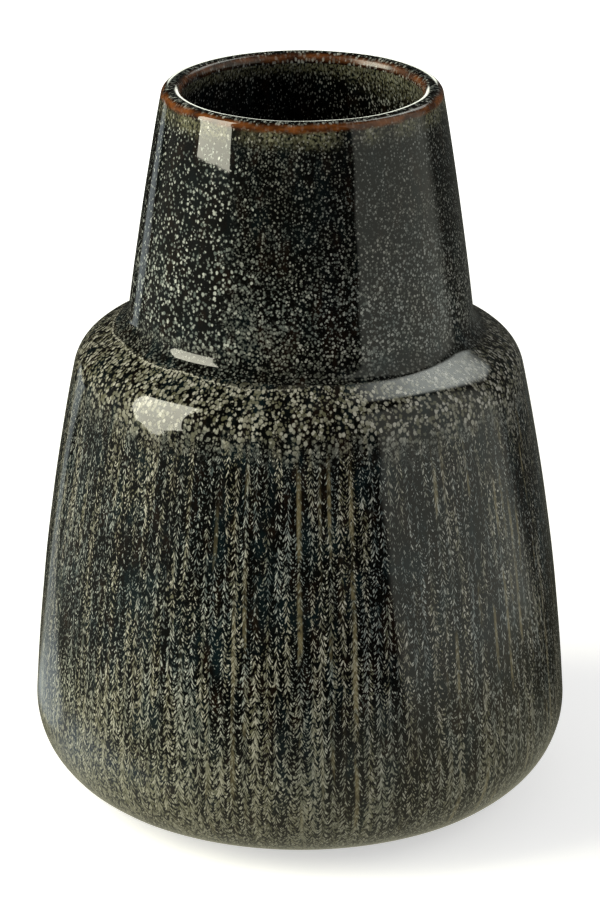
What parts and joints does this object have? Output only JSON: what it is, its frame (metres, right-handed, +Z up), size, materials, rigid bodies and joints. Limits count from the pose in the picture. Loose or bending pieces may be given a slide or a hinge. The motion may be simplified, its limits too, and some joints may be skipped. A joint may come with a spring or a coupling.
{
  "type": "bottle vase",
  "caption": "Squat stoneware bottle vase with a sloping shoulder, a tall tapering neck luted on, a foot ring and a dark speckled glaze; holds flowers and water.",
  "frame": {"origin": "centre of the foot ring, on the surface that the vase stands on", "axes": "+Z up along the axis that the vase is turned about; X and Y lie in the plane of the foot"},
  "size_m": [0.1472, 0.1472, 0.2],
  "materials": {
    "stoneware": "bare fired stoneware, matt",
    "glaze_body": "glossy dark glaze with cream streaks and ticks",
    "glaze_neck": "glossy near-black glaze with fine pale specks",
    "glaze_lip": "glossy glaze broken to rust brown at its edges",
    "glaze_liner": "glossy black glaze with sparse specks"
  },
  "bodies": {
    "root": {"body_section": "stoneware", "neck_section": "stoneware", "luting_slip": "stoneware", "luting_coil": "stoneware", "body_glaze": "glaze_body", "neck_glaze": "glaze_neck", "lip_glaze": "glaze_lip", "liner_glaze": "glaze_liner"}
  },
  "joints": []
}
